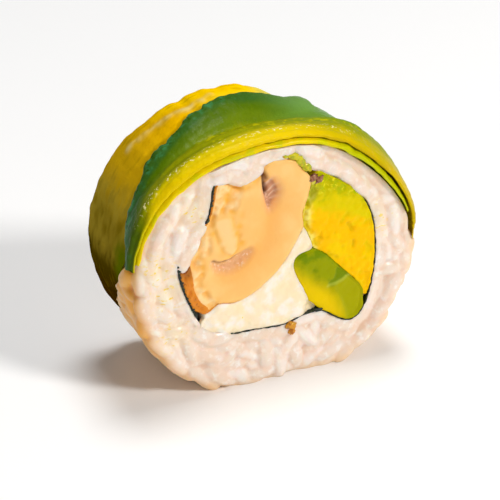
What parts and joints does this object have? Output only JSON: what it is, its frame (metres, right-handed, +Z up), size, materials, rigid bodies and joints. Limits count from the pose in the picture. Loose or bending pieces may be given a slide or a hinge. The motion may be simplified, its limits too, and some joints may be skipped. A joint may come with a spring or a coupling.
{
  "type": "uramaki roll piece",
  "caption": "Piece of an uramaki sushi roll standing on its rice edge: rice outside, nori, battered mushroom, cream cheese and avocado inside, avocado slices draped over the top.",
  "frame": {"origin": "on the flat base, midway between the two cut faces and within 1 mm of the middle of the width", "axes": "+Z up, -Y out of the cut face that the picture shows, +X to the right of that face, +Y along the roll to its other cut face"},
  "size_m": [0.051, 0.022, 0.0459],
  "materials": {
    "rice": "moist cooked rice, satin with small wet glints",
    "nori": "damp dark green seaweed sheet, satin",
    "mushroom": "cooked mushroom in a thin fried batter, moist satin",
    "cream_cheese": "soft cream cheese, smooth satin",
    "avocado_ripe": "ripe yellow avocado flesh, moist",
    "avocado_green": "green avocado flesh turning yellow, moist",
    "avocado_slice_green": "avocado slice, dark green edge to yellow-green, wet gloss",
    "avocado_slice_yellow": "thin yellow-green avocado slice, wet gloss",
    "avocado_slice_gold": "golden avocado slice turning olive down its side, wet gloss"
  },
  "bodies": {
    "root": {"rice": "rice", "nori": "nori", "mushroom": "mushroom", "cream_cheese": "cream_cheese", "avocado_filling_large": "avocado_ripe", "avocado_filling_small": "avocado_green", "avocado_slice_front_upper": "avocado_slice_green", "avocado_slice_front_lower": "avocado_slice_yellow", "avocado_slice_back": "avocado_slice_gold"}
  },
  "joints": []
}
